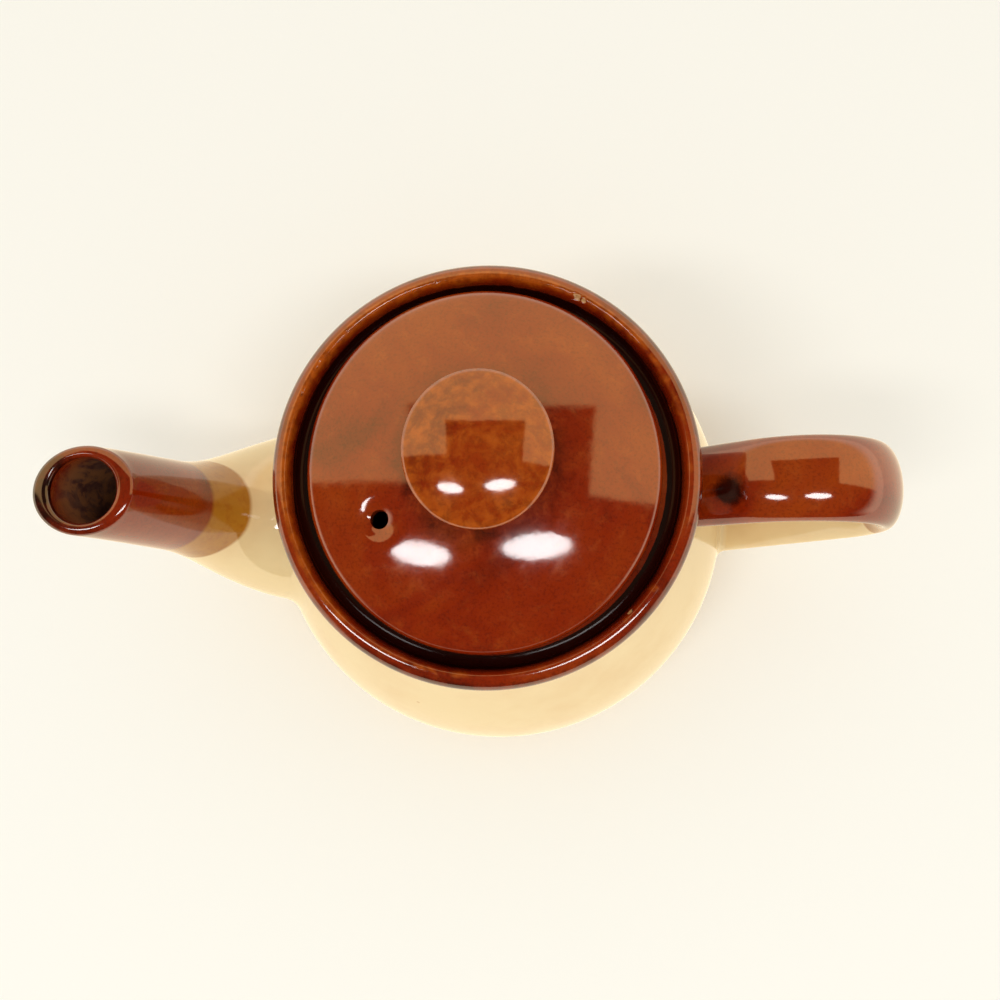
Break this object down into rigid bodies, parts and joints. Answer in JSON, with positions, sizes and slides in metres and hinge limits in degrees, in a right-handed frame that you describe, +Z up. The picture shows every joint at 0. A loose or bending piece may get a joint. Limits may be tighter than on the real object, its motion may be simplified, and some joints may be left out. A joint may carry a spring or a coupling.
{
  "type": "teapot",
  "caption": "Squat ceramic teapot with a curved spout, a strap handle and a loose domed lid with a mushroom knob, brown glaze over cream",
  "frame": {"origin": "middle of the foot ring, on the surface the pot stands on", "axes": "+Z up along the axis of the turned body, +X towards the handle, -X towards the spout"},
  "size_m": [0.2322, 0.152, 0.1459],
  "materials": {
    "cream_glaze": "glossy cream glaze, dipped in brown above the shoulder",
    "brown_glaze": "glossy treacle-brown glaze, amber where it runs thin on edges"
  },
  "bodies": {
    "pot": {"pot_body": "cream_glaze", "spout": "cream_glaze", "spout_luting": "cream_glaze", "handle": "cream_glaze", "handle_neck_luting": "brown_glaze", "handle_belly_luting": "cream_glaze"},
    "lid": {"lid": "brown_glaze", "knob": "brown_glaze", "knob_luting": "brown_glaze"}
  },
  "joints": [
    {"name": "lid_lift", "type": "slide", "parent": "pot", "child": "lid", "axis": [0, 0, 1], "range_m": [0, 0.12]}
  ]
}
